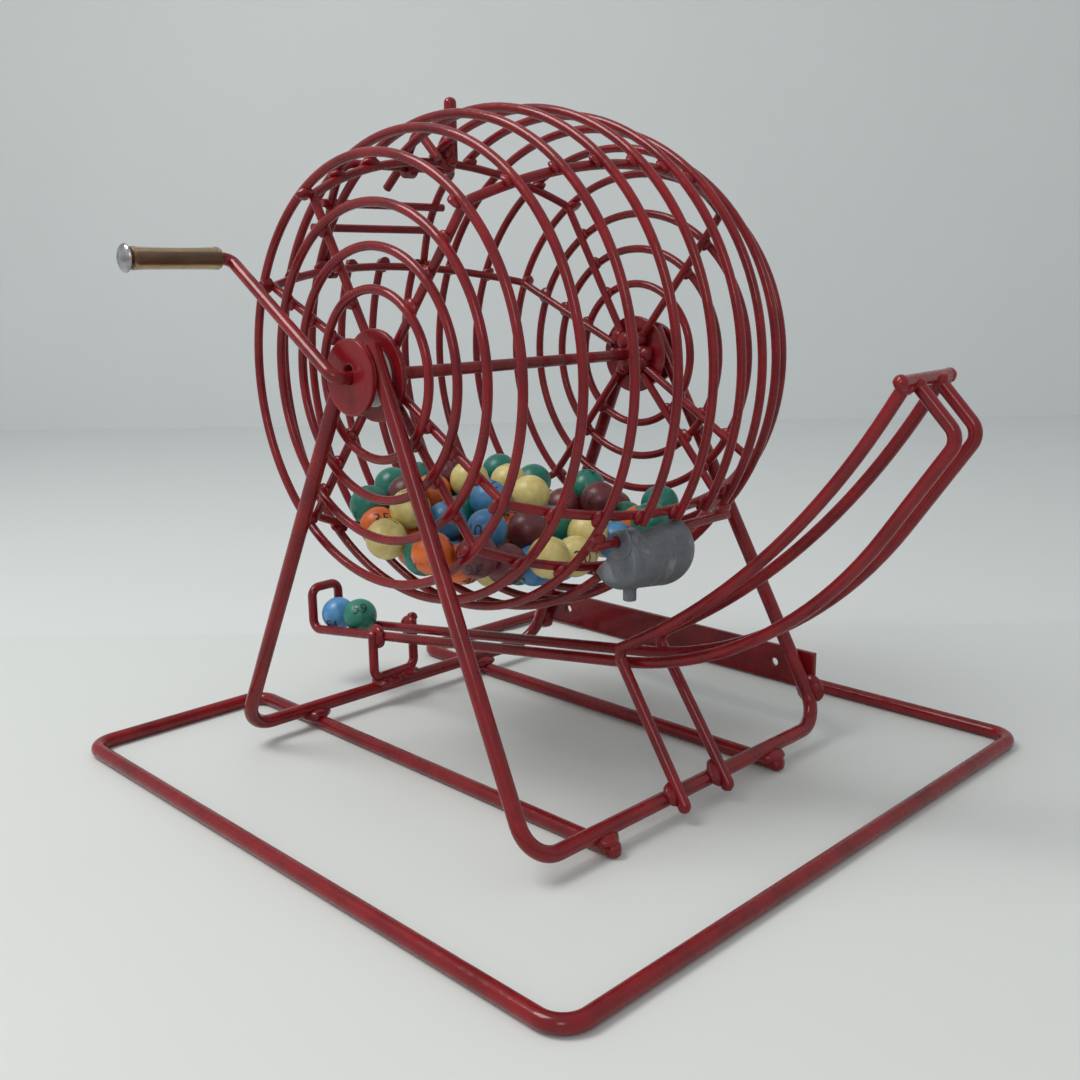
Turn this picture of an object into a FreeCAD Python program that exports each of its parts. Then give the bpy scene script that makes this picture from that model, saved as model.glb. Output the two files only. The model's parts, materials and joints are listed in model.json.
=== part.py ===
import FreeCAD, Part
import math
import os
import random

from FreeCAD import Vector

# Tabletop bingo cage, in millimetres.
# Origin: centre of the base rectangle, on the surface that the cage stands on.
# +Z is up, +Y runs along the axle from the crank to the far hub, and +X is the side of the ball run's top.
# Angles on the cage are measured in the XZ plane about the axle, from +X towards +Z.

# ---- base wire
BASE_LENGTH_X = 382.0
BASE_WIDTH_Y = 375.0
FRAME_WIRE = 8.0
BASE_CORNER_RADIUS = 13.0
CROSSBAR_CENTRE_Y = -5.0
CROSSBAR_SPREAD_Y = 136.0
CROSSBAR_OVERHANG = 5.5

# ---- leg frames
AXLE_X = -12.0
AXLE_Z = 221.0
FOOT_SPREAD_X = 237.0
FOOT_CENTRE_X = -11.5
NEAR_FOOT_Y = -121.5
FAR_FOOT_Y = 114.5
FOOT_CORNER_RADIUS = 18.0
NEAR_LEG_TOP_Y = -113.0
FAR_LEG_TOP_Y = 98.0
LEG_GAP_AT_AXLE = 31.6
LEG_REACH_ABOVE_AXLE = 15.0
WELD_BITE = 0.1

# ---- bearing discs, which hold the axle
BEARING_DISC_DIAMETER = 37.0
DISC_THICKNESS = 3.0
AXLE_DIAMETER = 6.35
AXLE_CLEARANCE = 0.08
BEARING_SLOT_RISE = 3.0
AXLE_END_REACH = 3.5

# ---- brace plate across the far legs
BRACE_THICKNESS = 3.0
BRACE_HEIGHT = 22.0
BRACE_BOTTOM_Z = 29.0
BRACE_OVERHANG = 3.0
BRACE_HOLE_DIAMETER = 5.0
BRACE_HOLE_SPACING = 170.0

# ---- ball run
RUN_WIRE = 6.0
RUN_TURN_DEG = 3.9
RUN_PIVOT_X = 72.0
RUN_PIVOT_Y = 2.0
TRACK_HALF_GAUGE = 11.0
TRACK_SLOPE_DEG = 6.9
TRACK_LOW_END = -197.0
TRACK_HEIGHT_AT_PIVOT = 70.5
TRACK_CURVE_RADIUS = 201.0
TRACK_RISE_DEG = 55.8
TRACK_CURVE_CORNER = 152.0
TRACK_STOP_TOP_Z = 66.0
TRACK_NOSE_X = 233.4
TRACK_NOSE_RADIUS = 8.0
GUARD_HALF_GAUGE = 18.0
GUARD_KNEE = (64.0, 78.0)
GUARD_FOOT = (117.3, 10.0)
GUARD_FOOT_SHIFT_Y = -11.0
GUARD_CURVE_CORNER = (154.6, 125.2)
GUARD_CURVE_RADIUS = 355.0
TIGHT_BEND = 6.0
TOP_BAR = (213.0, 222.5)
TOP_BAR_OVERHANG = 6.0
BRACKET_NEAR_TOP_Z = 47.5
BRACKET_FAR_TOP_Z = 52.0

# ---- balls
BALL_DIAMETER = 22.0
BALL_COUNT = 73
BALL_GAP = 0.3
TRACK_BALL_STATIONS = (-183.0, -160.6)
BALL_COLOURS = ("yellow", "blue", "green", "orange", "maroon")
PILE_GAP_TO_RIBS = 2.9
PILE_LEAN_DEG = 9.0
PILE_SEED = 7
PILE_STEPS = 700

# ---- cage
CAGE_CENTRE_Y = -8.5
CAGE_HALF_LENGTH = 97.0
CAGE_RADIUS = 130.0
CAGE_END_RADIUS = 103.0
CAGE_WIRE = 4.6
BARREL_RING_COUNT = 9
CAP_RING_RADII = (41.0, 61.0, 81.0)
RIB_ANGLES = {"a": 50.5, "b": -32.0, "c": -50.0, "d": 231.0, "e": 120.0, "f": 155.0}
RIB_INNER_RADIUS = 12.0
RIB_CORNER_RADIUS = 6.0
STRAIGHT_RIB_END = 7.0
HUB_DISC_DIAMETER = 45.0
WASHER_DIAMETER = 30.0
WASHER_THICKNESS = 1.6
OPEN_RINGS = (-1, 0, 1)
STUB_OVERLAP_DEG = 0.9

# ---- crank
CRANK_PLANE_Y = -129.0
CRANK_ARM = 103.2
CRANK_ANGLE_DEG = 146.5
CRANK_BEND_RADIUS = 5.5
GRIP_DIAMETER = 11.5
GRIP_LENGTH = 48.0
GRIP_CLEARANCE = 0.1
GRIP_END_GAP = 0.4
CAP_DIAMETER = 14.0
CAP_LENGTH = 5.0
CAP_DOME_RADIUS = 11.0

# ---- scoop and its pivot bar
SCOOP_BAR_ANGLE = -37.2
SCOOP_ANGLE = -42.0
SCOOP_CENTRE_RISE = 1.0
SCOOP_BOWL_RADIUS = 18.5
SCOOP_WALL = 2.2
SCOOP_RIM_DROP = 1.7
SCOOP_COLLAR_RADIUS = 5.2
SCOOP_COLLAR_LENGTH = 12.0
SCOOP_BOSS_RADIUS = 9.0
SCOOP_BOSS_HEIGHT = 1.5
SCOOP_NECK_RADIUS = 14.5
SCOOP_NECK_ROUNDING = 6.0
SCOOP_LENGTH = 53.5
SCOOP_PIVOT_CLEARANCE = 0.1
PEG_DIAMETER = 6.7
PEG_SETBACK = 21.0
PEG_REACH = 22.5

# ---- door
DOOR_WIRE = 4.6
DOOR_DROP = 1.2
DOOR_TOP_ANGLE = 124.6
DOOR_TOP_Y = (-64.0, 12.0)
DOOR_HINGE_Y = (-50.0, 22.5)
DOOR_CORNER_RADIUS = 5.0
DOOR_SIDE_BULGE_RADIUS = 90.0
DOOR_BAR_ANGLES = (137.8, 145.0)
EYE_WIRE = 1.6
EYE_WIDTH = 3.5
EYE_CLEARANCE = 0.8

# ---- latch
LATCH_WIRE = 5.0
LATCH_Y = (-20.5, -17.0, -16.0)
LATCH_LEVER_END_ANGLE = 134.2
LATCH_LEVER_RISE = 4.2
LATCH_APEX_ANGLE = 118.6
LATCH_APEX_RISE = 13.5
LATCH_TIP_ANGLE = 115.8
LATCH_TIP_DROP = 8.0
LATCH_EYE_WIRE = 3.2
LATCH_EYE_CLEARANCE = 0.35
POST_DIAMETER = 7.0
POST_RISE = 13.0
POST_LENGTH = 36.5

NEAR = -1
FAR = 1
Y_AXIS = Vector(0, 1, 0)

frame_radius = FRAME_WIRE / 2
run_radius = RUN_WIRE / 2
cage_wire_radius = CAGE_WIRE / 2
axle_radius = AXLE_DIAMETER / 2
ball_radius = BALL_DIAMETER / 2
profile_radius = (CAGE_HALF_LENGTH**2 + (CAGE_RADIUS - CAGE_END_RADIUS) ** 2) / (2 * (CAGE_RADIUS - CAGE_END_RADIUS))
profile_centre = CAGE_RADIUS - profile_radius
ring_pitch = 2 * CAGE_HALF_LENGTH / (BARREL_RING_COUNT - 1)
weld_distance = CAGE_WIRE - WELD_BITE
scoop_centre_radius = CAGE_RADIUS + SCOOP_CENTRE_RISE
door_radius = CAGE_RADIUS - DOOR_DROP
run_turn = math.radians(RUN_TURN_DEG)
track_slope = math.tan(math.radians(TRACK_SLOPE_DEG))
foot_z = 1.5 * FRAME_WIRE - WELD_BITE


# ---- general shapes

def rounded_path(points, radii):
    """Wire of straight runs through the points, with a tangent arc of the given radius at each inner point."""
    edges = []
    start = points[0]
    for before, corner, after, radius in zip(points, points[1:], points[2:], radii):
        back = (before - corner).normalize()
        ahead = (after - corner).normalize()
        half_angle = back.getAngle(ahead) / 2
        setback = radius / math.tan(half_angle)
        middle = (back + ahead).normalize()
        arc_start = corner + back * setback
        arc_end = corner + ahead * setback
        arc_middle = corner + middle * (radius / math.sin(half_angle) - radius)
        edges.append(Part.LineSegment(start, arc_start).toShape())
        edges.append(Part.Arc(arc_start, arc_middle, arc_end).toShape())
        start = arc_end
    edges.append(Part.LineSegment(start, points[-1]).toShape())
    return Part.Wire(edges)


def bent_wire(points, radii, diameter):
    """Round wire of one diameter along a rounded path."""
    path = rounded_path(points, radii)
    direction = points[1] - points[0]
    section = Part.Wire([Part.makeCircle(diameter / 2, points[0], direction)])
    return path.makePipeShell([section], True, True)


def rod(start, end, diameter):
    """Straight round bar between two points."""
    return Part.makeCylinder(diameter / 2, (end - start).Length, start, end - start)


def disc(centre, thickness, diameter):
    """Round plate across the axle, from centre towards +Y."""
    return Part.makeCylinder(diameter / 2, thickness, centre, Y_AXIS)


def ring_arc(radius, y, start_deg, end_deg, wire):
    """Part of a wire ring round the axle, between two cage angles."""
    section = Part.Face(Part.Wire([Part.makeCircle(wire / 2, on_cage(radius, start_deg, y), across_cage(start_deg))]))
    return section.revolve(Vector(AXLE_X, y, AXLE_Z), Vector(0, -1, 0), end_deg - start_deg)


def on_cage(radius, angle_deg, y):
    """Point at a radius and angle about the axle."""
    angle = math.radians(angle_deg)
    return Vector(AXLE_X + radius * math.cos(angle), y, AXLE_Z + radius * math.sin(angle))


def across_cage(angle_deg):
    """Unit vector round the axle, towards growing angles."""
    angle = math.radians(angle_deg)
    return Vector(-math.sin(angle), 0, math.cos(angle))


def on_axle(y):
    return Vector(AXLE_X, y, AXLE_Z)


def on_run(along, across, z):
    """Point on the ball run, which is turned a little about a vertical line."""
    step = along - RUN_PIVOT_X
    x = RUN_PIVOT_X + step * math.cos(run_turn) - across * math.sin(run_turn)
    y = RUN_PIVOT_Y + step * math.sin(run_turn) + across * math.cos(run_turn)
    return Vector(x, y, z)


def track_z(along):
    """Height of the rails' centreline on the straight part of the track."""
    return TRACK_HEIGHT_AT_PIVOT + track_slope * (along - RUN_PIVOT_X)


def ring_radius(y, inward=0.0):
    """Radius of the barrel's outline at y, for wires laid inward of the rings."""
    along = y - CAGE_CENTRE_Y
    return profile_centre + math.sqrt((profile_radius - inward) ** 2 - along**2)


def ring_y(index):
    return CAGE_CENTRE_Y + index * ring_pitch


# ---- stand

def base_wire():
    """One wire: the rectangle, whose two ends turn in to become the crossbars under the feet."""
    half_x = BASE_LENGTH_X / 2
    half_y = BASE_WIDTH_Y / 2
    near_bar = CROSSBAR_CENTRE_Y - CROSSBAR_SPREAD_Y / 2
    far_bar = CROSSBAR_CENTRE_Y + CROSSBAR_SPREAD_Y / 2
    bar_end = FOOT_CENTRE_X + FOOT_SPREAD_X / 2 + CROSSBAR_OVERHANG
    corners = [
        (bar_end, near_bar), (-half_x, near_bar), (-half_x, -half_y), (half_x, -half_y),
        (half_x, half_y), (-half_x, half_y), (-half_x, far_bar), (bar_end, far_bar),
    ]
    points = [Vector(x, y, frame_radius) for x, y in corners]
    return bent_wire(points, [BASE_CORNER_RADIUS] * 6, FRAME_WIRE)


def leg_top(side, foot_x, top_y, foot_y):
    """Top of a leg, carried on a little above the axle along the leg's own line."""
    at_axle = Vector(AXLE_X + side * LEG_GAP_AT_AXLE / 2, top_y, AXLE_Z)
    foot = Vector(foot_x, foot_y, foot_z)
    direction = (at_axle - foot) / (AXLE_Z - foot_z)
    return at_axle + direction * LEG_REACH_ABOVE_AXLE


def leg_frame(side):
    """One wire: near leg, foot bar and far leg."""
    foot_x = FOOT_CENTRE_X + side * FOOT_SPREAD_X / 2
    points = [
        leg_top(side, foot_x, NEAR_LEG_TOP_Y, NEAR_FOOT_Y),
        Vector(foot_x, NEAR_FOOT_Y, foot_z),
        Vector(foot_x, FAR_FOOT_Y, foot_z),
        leg_top(side, foot_x, FAR_LEG_TOP_Y, FAR_FOOT_Y),
    ]
    return bent_wire(points, [FOOT_CORNER_RADIUS] * 2, FRAME_WIRE)


def bearing_disc(inner_y):
    """Disc with a hole that is a running fit under the axle and loose above it."""
    plate = disc(on_axle(inner_y), DISC_THICKNESS, BEARING_DISC_DIAMETER)
    hole = AXLE_DIAMETER + 2 * AXLE_CLEARANCE
    low = disc(on_axle(inner_y - 1), DISC_THICKNESS + 2, hole)
    high = low.translated(Vector(0, 0, BEARING_SLOT_RISE))
    middle = Part.makeBox(hole, DISC_THICKNESS + 2, BEARING_SLOT_RISE, on_axle(inner_y - 1) - Vector(hole / 2, 0, 0))
    return plate.cut(low).cut(high).cut(middle)


def leg_y(top_y, foot_y, z):
    """Y of a leg's centreline at a height."""
    return foot_y + (top_y - foot_y) * (z - foot_z) / (AXLE_Z - foot_z)


def near_bearing_face():
    """Inner face of the near disc, which meets the leaning legs at its lower edge."""
    return leg_y(NEAR_LEG_TOP_Y, NEAR_FOOT_Y, AXLE_Z - BEARING_DISC_DIAMETER / 2) - frame_radius


def far_bearing_face():
    """Inner face of the far disc, which meets the leaning legs at its lower edge."""
    return leg_y(FAR_LEG_TOP_Y, FAR_FOOT_Y, AXLE_Z - BEARING_DISC_DIAMETER / 2) + frame_radius


def near_bearing_disc():
    return bearing_disc(near_bearing_face() - DISC_THICKNESS)


def far_bearing_disc():
    return bearing_disc(far_bearing_face())


def leg_x(side, z):
    """X of a leg's centreline at a height."""
    foot = FOOT_CENTRE_X + side * FOOT_SPREAD_X / 2
    top = AXLE_X + side * LEG_GAP_AT_AXLE / 2
    return foot + (top - foot) * (z - foot_z) / (AXLE_Z - foot_z)


def brace_plate():
    """Flat strip welded across the far legs, with a hole near each end."""
    middle_z = BRACE_BOTTOM_Z + BRACE_HEIGHT / 2
    left = leg_x(NEAR, middle_z) - frame_radius - BRACE_OVERHANG
    right = leg_x(FAR, middle_z) + frame_radius + BRACE_OVERHANG
    inner_y = leg_y(FAR_LEG_TOP_Y, FAR_FOOT_Y, BRACE_BOTTOM_Z) + frame_radius
    plate = Part.makeBox(right - left, BRACE_THICKNESS, BRACE_HEIGHT, Vector(left, inner_y, BRACE_BOTTOM_Z))
    for side in (NEAR, FAR):
        centre = Vector(AXLE_X + side * BRACE_HOLE_SPACING / 2, inner_y - 1, middle_z)
        plate = plate.cut(disc(centre, BRACE_THICKNESS + 2, BRACE_HOLE_DIAMETER))
    return plate


# ---- ball run

def top_bar():
    """Short bar across the top of the run, which the four rails end on."""
    reach = GUARD_HALF_GAUGE + TOP_BAR_OVERHANG
    return rod(on_run(TOP_BAR[0], -reach, TOP_BAR[1]), on_run(TOP_BAR[0], reach, TOP_BAR[1]), RUN_WIRE)


def track_wire():
    """One wire: both rails of the track, joined by the stop arch at the low end."""
    rise = math.tan(math.radians(TRACK_RISE_DEG))
    curve_z = track_z(TRACK_CURVE_CORNER)
    nose_z = curve_z + rise * (TRACK_NOSE_X - TRACK_CURVE_CORNER)
    profile = [
        TOP_BAR,
        (TRACK_NOSE_X, nose_z),
        (TRACK_CURVE_CORNER, curve_z),
        (TRACK_LOW_END, track_z(TRACK_LOW_END)),
        (TRACK_LOW_END, TRACK_STOP_TOP_Z),
    ]
    bends = [TRACK_NOSE_RADIUS, TRACK_CURVE_RADIUS, TIGHT_BEND, TIGHT_BEND]
    near_side = [on_run(along, -TRACK_HALF_GAUGE, z) for along, z in profile]
    far_side = [on_run(along, TRACK_HALF_GAUGE, z) for along, z in reversed(profile)]
    wire = bent_wire(near_side + far_side, bends + bends[::-1], RUN_WIRE)
    return wire.cut(top_bar())


def guard_rail(side):
    """One wire: leg up from the foot bar, sharp knee, then a long curve to the top bar."""
    across = side * GUARD_HALF_GAUGE
    foot_shift = across * math.tan(run_turn)
    points = [
        on_run(GUARD_FOOT[0] + foot_shift, across, GUARD_FOOT[1]) + Vector(0, GUARD_FOOT_SHIFT_Y, 0),
        on_run(GUARD_KNEE[0], across, GUARD_KNEE[1]),
        on_run(GUARD_CURVE_CORNER[0], across, GUARD_CURVE_CORNER[1]),
        on_run(TOP_BAR[0], across, TOP_BAR[1]),
    ]
    return bent_wire(points, [TIGHT_BEND, GUARD_CURVE_RADIUS], RUN_WIRE).cut(top_bar())


def track_bracket():
    """U wire on the rear foot bar, whose legs hold the rails from outside."""
    rear_foot_x = FOOT_CENTRE_X - FOOT_SPREAD_X / 2
    across = TRACK_HALF_GAUGE + RUN_WIRE - WELD_BITE
    bottom_z = foot_z + frame_radius + run_radius - WELD_BITE / 2
    points = [
        on_run(rear_foot_x, -across, BRACKET_NEAR_TOP_Z),
        on_run(rear_foot_x, -across, bottom_z),
        on_run(rear_foot_x, across, bottom_z),
        on_run(rear_foot_x, across, BRACKET_FAR_TOP_Z),
    ]
    return bent_wire(points, [TIGHT_BEND] * 2, RUN_WIRE)


# ---- cage

def barrel_ring(index):
    """Ring of the barrel. The middle rings are open at the door and at the scoop."""
    y = ring_y(index)
    radius = ring_radius(y)
    if index not in OPEN_RINGS:
        return Part.makeTorus(radius, cage_wire_radius, on_axle(y), Y_AXIS)
    turn = 360
    lower = ring_arc(radius, y, RIB_ANGLES["f"] - STUB_OVERLAP_DEG, turn + RIB_ANGLES["c"] - STUB_OVERLAP_DEG, CAGE_WIRE)
    upper = ring_arc(radius, y, RIB_ANGLES["b"] - STUB_OVERLAP_DEG, RIB_ANGLES["e"] + STUB_OVERLAP_DEG, CAGE_WIRE)
    return Part.makeCompound([lower, upper])


def cap_ring(side, radius):
    """Flat ring on the outside of an end cap's spokes."""
    return Part.makeTorus(radius, cage_wire_radius, on_axle(CAGE_CENTRE_Y + side * CAGE_HALF_LENGTH), Y_AXIS)


def closest_ribs():
    """Smallest angle between two neighbouring ribs, in degrees."""
    angles = sorted(angle % 360 for angle in RIB_ANGLES.values())
    return min((after - before) % 360 for before, after in zip(angles, angles[1:] + angles[:1]))


def rib(angle):
    """One wire: spoke of the near cap, stave of the barrel and spoke of the far cap."""
    spoke = CAGE_HALF_LENGTH - weld_distance
    arc_radius = profile_radius - weld_distance
    tangent = spoke - STRAIGHT_RIB_END
    height = math.sqrt(arc_radius**2 - tangent**2)
    slope = tangent / height
    corner = profile_centre + height - slope * STRAIGHT_RIB_END
    peak = profile_centre + height + slope * tangent
    inner = max(RIB_INNER_RADIUS, CAGE_WIRE / (2 * math.sin(math.radians(closest_ribs() / 2))))
    profile = [(inner, -spoke), (corner, -spoke), (peak, 0), (corner, spoke), (inner, spoke)]
    points = [on_cage(radius, angle, CAGE_CENTRE_Y + along) for radius, along in profile]
    return bent_wire(points, [RIB_CORNER_RADIUS, arc_radius, RIB_CORNER_RADIUS], CAGE_WIRE)


def hub_disc(side):
    """Disc on the outside of the spokes, with the axle through it."""
    face = CAGE_HALF_LENGTH - weld_distance + cage_wire_radius - WELD_BITE / 2
    start = face if side == FAR else -face - DISC_THICKNESS
    plate = disc(on_axle(CAGE_CENTRE_Y + start), DISC_THICKNESS, HUB_DISC_DIAMETER)
    return plate.cut(disc(on_axle(CAGE_CENTRE_Y + start - 1), DISC_THICKNESS + 2, AXLE_DIAMETER))


def hub_washer():
    """Spacer washer between the near legs and the near hub disc."""
    hub_face = CAGE_CENTRE_Y - CAGE_HALF_LENGTH + weld_distance - cage_wire_radius + WELD_BITE / 2 - DISC_THICKNESS
    plate = disc(on_axle(hub_face - WASHER_THICKNESS), WASHER_THICKNESS, WASHER_DIAMETER)
    return plate.cut(disc(on_axle(hub_face - WASHER_THICKNESS - 1), WASHER_THICKNESS + 2, AXLE_DIAMETER))


def crank_pin(y):
    """Point on the line of the crank's grip."""
    return on_cage(CRANK_ARM, CRANK_ANGLE_DEG, y)


def grip_start_y():
    return CRANK_PLANE_Y - CRANK_BEND_RADIUS - GRIP_END_GAP


def grip_end_y():
    return grip_start_y() - GRIP_LENGTH


def crank_axle():
    """One bent rod: axle, crank arm and the pin that the grip turns on."""
    far_end = far_bearing_face() + DISC_THICKNESS + AXLE_END_REACH
    pin_end = grip_end_y() - GRIP_END_GAP - CAP_LENGTH / 2
    points = [on_axle(far_end), on_axle(CRANK_PLANE_Y), crank_pin(CRANK_PLANE_Y), crank_pin(pin_end)]
    return bent_wire(points, [CRANK_BEND_RADIUS] * 2, AXLE_DIAMETER)


def crank_grip():
    """Loose sleeve on the crank pin."""
    bore = AXLE_DIAMETER + 2 * GRIP_CLEARANCE
    sleeve = rod(crank_pin(grip_start_y()), crank_pin(grip_end_y()), GRIP_DIAMETER)
    sleeve = sleeve.makeFillet(1.0, [edge for edge in sleeve.Edges if edge.Closed])
    return sleeve.cut(rod(crank_pin(grip_start_y() + 1), crank_pin(grip_end_y() - 1), bore))


def grip_cap():
    """Domed push-on nut at the end of the crank pin."""
    inner = grip_end_y() - GRIP_END_GAP
    body = rod(crank_pin(inner), crank_pin(inner - CAP_LENGTH), CAP_DIAMETER)
    dome_centre = crank_pin(inner - CAP_LENGTH + CAP_DOME_RADIUS)
    body = body.common(Part.makeSphere(CAP_DOME_RADIUS, dome_centre))
    return body.cut(rod(crank_pin(inner + 1), crank_pin(inner - CAP_LENGTH / 2), AXLE_DIAMETER))


# ---- scoop

def scoop_bar_radius():
    """The pivot bar lies on the outside of the two whole rings beside the scoop."""
    return ring_radius(ring_y(OPEN_RINGS[0] - 1)) + weld_distance


def scoop_bar():
    reach = (OPEN_RINGS[-1] + 1) * ring_pitch + cage_wire_radius + 1
    start = on_cage(scoop_bar_radius(), SCOOP_BAR_ANGLE, CAGE_CENTRE_Y - reach)
    end = on_cage(scoop_bar_radius(), SCOOP_BAR_ANGLE, CAGE_CENTRE_Y + reach)
    return rod(start, end, CAGE_WIRE)


def scoop_skin(shrink):
    """Outside of the scoop: a round bowl that narrows to a neck, made smaller by the given amount."""
    bowl_y = CAGE_CENTRE_Y
    neck_y = bowl_y + SCOOP_BOWL_RADIUS - SCOOP_LENGTH + shrink
    bowl = Part.makeSphere(SCOOP_BOWL_RADIUS - shrink, on_cage(scoop_centre_radius, SCOOP_ANGLE, bowl_y))
    neck = Part.makeCone(
        SCOOP_NECK_RADIUS - shrink, SCOOP_BOWL_RADIUS - shrink, bowl_y - neck_y,
        on_cage(scoop_centre_radius, SCOOP_ANGLE, neck_y), Y_AXIS,
    )
    end_edges = [edge for edge in neck.Edges if edge.BoundBox.YMax < neck_y + 0.01]
    neck = neck.makeFillet(SCOOP_NECK_ROUNDING - shrink, end_edges)
    return bowl.fuse(neck)


def scoop():
    """Moulded scoop outside the cage: bowl, neck, collar round the pivot bar and trip peg."""
    neck_y = CAGE_CENTRE_Y + SCOOP_BOWL_RADIUS - SCOOP_LENGTH
    inside_cage = Part.makeCylinder(CAGE_RADIUS - SCOOP_RIM_DROP, SCOOP_LENGTH * 3, on_axle(neck_y - SCOOP_LENGTH), Y_AXIS)
    bar_centre = on_cage(scoop_bar_radius(), SCOOP_BAR_ANGLE, neck_y)
    shell = scoop_skin(0).cut(scoop_skin(SCOOP_WALL)).cut(inside_cage)
    collar = Part.makeCylinder(SCOOP_COLLAR_RADIUS, SCOOP_COLLAR_LENGTH, bar_centre, Y_AXIS)
    boss = Part.makeCylinder(SCOOP_BOSS_RADIUS, SCOOP_BOSS_HEIGHT, bar_centre - Y_AXIS * SCOOP_BOSS_HEIGHT, Y_AXIS)
    boss = boss.cut(inside_cage)
    nose = Part.makeCylinder(SCOOP_COLLAR_RADIUS, SCOOP_BOSS_HEIGHT, bar_centre - Y_AXIS * SCOOP_BOSS_HEIGHT, Y_AXIS)
    peg_y = CAGE_CENTRE_Y - PEG_SETBACK
    peg_root = on_cage(scoop_centre_radius, SCOOP_ANGLE, peg_y)
    peg = Part.makeCylinder(PEG_DIAMETER / 2, PEG_REACH, peg_root, Vector(0, 0, -1))
    peg = peg.cut(scoop_skin(SCOOP_WALL))
    body = shell.fuse([collar, boss, nose, peg]).removeSplitter()
    bore = CAGE_WIRE + 2 * SCOOP_PIVOT_CLEARANCE
    bore_start = bar_centre - Y_AXIS * SCOOP_LENGTH
    return body.cut(Part.makeCylinder(bore / 2, 3 * SCOOP_LENGTH, bore_start, Y_AXIS))


# ---- door and latch

def door_eye(y):
    """Curled end of the door wire, round the rib that the door turns on."""
    centre = on_cage(ring_radius(y, weld_distance), RIB_ANGLES["f"], y - EYE_WIDTH / 2)
    inner = cage_wire_radius + EYE_CLEARANCE
    outside = Part.makeCylinder(inner + EYE_WIRE, EYE_WIDTH, centre, Y_AXIS)
    return outside, Part.makeCylinder(inner, EYE_WIDTH + 2, centre - Y_AXIS, Y_AXIS)


def door_side_start(y):
    """Where a side of the door leaves its eye, on the outside of the rib."""
    hinge_radius = ring_radius(y, weld_distance)
    return on_cage(hinge_radius + cage_wire_radius + EYE_CLEARANCE + EYE_WIRE, RIB_ANGLES["f"], y)


def door_frame():
    """One wire: side, top bar and side, curled round the hinge rib at both ends."""
    near_top, far_top = DOOR_TOP_Y
    near_hinge, far_hinge = DOOR_HINGE_Y
    middle_angle = (DOOR_TOP_ANGLE + RIB_ANGLES["f"]) / 2
    bulge = door_radius / math.cos(math.radians(middle_angle - DOOR_TOP_ANGLE))
    points = [
        door_side_start(near_hinge),
        on_cage(bulge, middle_angle, (near_top + near_hinge) / 2),
        on_cage(door_radius, DOOR_TOP_ANGLE, near_top),
        on_cage(door_radius, DOOR_TOP_ANGLE, far_top),
        on_cage(bulge, middle_angle, (far_top + far_hinge) / 2),
        door_side_start(far_hinge),
    ]
    bends = [DOOR_SIDE_BULGE_RADIUS, DOOR_CORNER_RADIUS, DOOR_CORNER_RADIUS, DOOR_SIDE_BULGE_RADIUS]
    wire = bent_wire(points, bends, DOOR_WIRE)
    for y in DOOR_HINGE_Y:
        outside, hole = door_eye(y)
        wire = wire.fuse(outside).cut(hole)
    return wire


def door_bar(angle):
    """Straight bar between the sides of the door."""
    near_y = min(DOOR_TOP_Y[0], DOOR_HINGE_Y[0])
    far_y = max(DOOR_TOP_Y[1], DOOR_HINGE_Y[1])
    bar = rod(on_cage(door_radius + 0.6, angle, near_y), on_cage(door_radius + 0.6, angle, far_y), DOOR_WIRE)
    pieces = bar.cut(door_frame()).Solids
    return max(pieces, key=lambda piece: piece.Volume)


def latch():
    """One wire: finger lever, eye round the door's top bar and hairpin over the edge of the opening."""
    lever_y, apex_y, tip_y = LATCH_Y
    points = [
        on_cage(CAGE_RADIUS + LATCH_LEVER_RISE, LATCH_LEVER_END_ANGLE, lever_y),
        on_cage(CAGE_RADIUS + LATCH_LEVER_RISE, DOOR_TOP_ANGLE - 1.0, lever_y),
        on_cage(CAGE_RADIUS + LATCH_APEX_RISE, LATCH_APEX_ANGLE, apex_y),
        on_cage(CAGE_RADIUS - LATCH_TIP_DROP, LATCH_TIP_ANGLE, tip_y),
    ]
    wire = bent_wire(points, [TIGHT_BEND, 3.5], LATCH_WIRE)
    pivot = on_cage(door_radius, DOOR_TOP_ANGLE, lever_y - LATCH_WIRE / 2)
    inner = DOOR_WIRE / 2 + LATCH_EYE_CLEARANCE
    eye = Part.makeCylinder(inner + LATCH_EYE_WIRE, LATCH_WIRE, pivot, Y_AXIS)
    return wire.fuse(eye).cut(Part.makeCylinder(inner, LATCH_WIRE + 2, pivot - Y_AXIS, Y_AXIS))


def latch_post():
    """Upright stop beside the end of the middle ring, with rounded ends."""
    rib_centre = on_cage(ring_radius(CAGE_CENTRE_Y, weld_distance), RIB_ANGLES["e"], 0)
    post_radius = POST_DIAMETER / 2
    x = rib_centre.x + cage_wire_radius + post_radius - WELD_BITE
    y = CAGE_CENTRE_Y + cage_wire_radius + post_radius - WELD_BITE
    top_z = AXLE_Z + CAGE_RADIUS + POST_RISE
    post = rod(Vector(x, y, top_z - POST_LENGTH), Vector(x, y, top_z), POST_DIAMETER)
    return post.makeFillet(post_radius * 0.9, [edge for edge in post.Edges if edge.Closed and edge.Length > 1
                                               and edge.Curve.TypeId == "Part::GeomCircle"])


# ---- balls

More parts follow.
